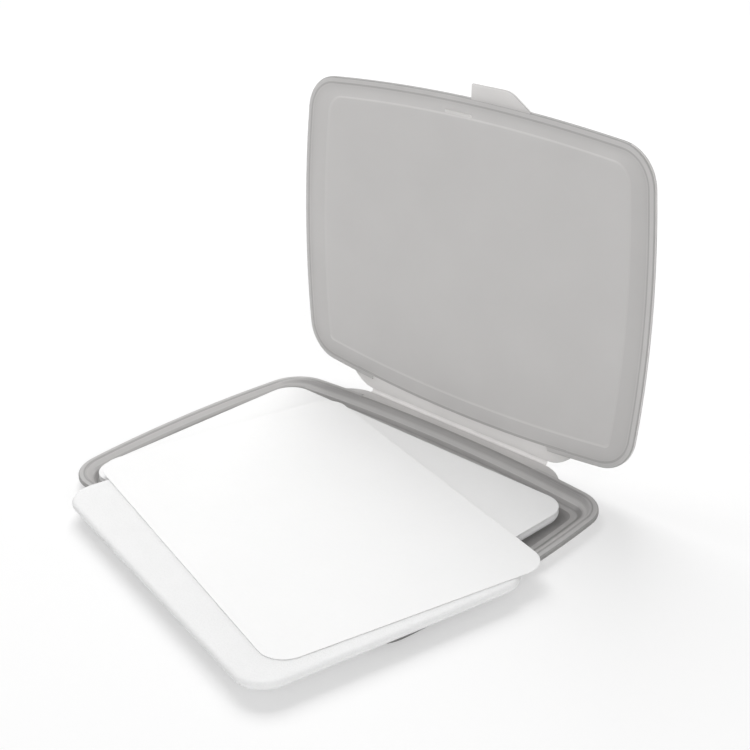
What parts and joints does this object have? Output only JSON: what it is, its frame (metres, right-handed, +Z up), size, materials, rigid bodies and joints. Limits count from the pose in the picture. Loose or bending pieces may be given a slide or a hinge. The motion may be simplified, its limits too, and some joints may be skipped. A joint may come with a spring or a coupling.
{
  "type": "wet palette",
  "caption": "Slim hinged wet palette: frosted clamshell tray and lid on a living hinge, with foam pads and palette papers, shown open with one pad pulled out.",
  "frame": {"origin": "middle of the flat face under the tray that the palette stands on", "axes": "+X along the hinge, -Y towards the front edge with the thumb tabs, +Z up"},
  "size_m": [0.2085, 0.2007, 0.1595],
  "materials": {
    "frosted_case": "satin",
    "foam": "matte",
    "palette_paper": "matte"
  },
  "bodies": {
    "tray": {"base_tray": "frosted_case", "hinge_film": "frosted_case", "lower_pad": "foam", "lower_paper": "palette_paper"},
    "lid": {"lid": "frosted_case"},
    "upper_pad": {"upper_pad": "foam"},
    "upper_paper": {"upper_paper": "palette_paper"}
  },
  "joints": [
    {"name": "lid_hinge", "type": "hinge", "parent": "tray", "child": "lid", "pos_m": [0, 0.07575, 0.00565], "axis": [-1, 0, 0], "range_deg": [-86, 86], "deforming": ["hinge_film"]},
    {"name": "upper_pad_slide", "type": "slide", "parent": "tray", "child": "upper_pad", "axis": [-0.1951, -0.9808, 0], "range_m": [0, 0.1]},
    {"name": "upper_paper_slide", "type": "slide", "parent": "upper_pad", "child": "upper_paper", "axis": [-0.2436, -0.9699, 0], "range_m": [0, 0.12]}
  ]
}
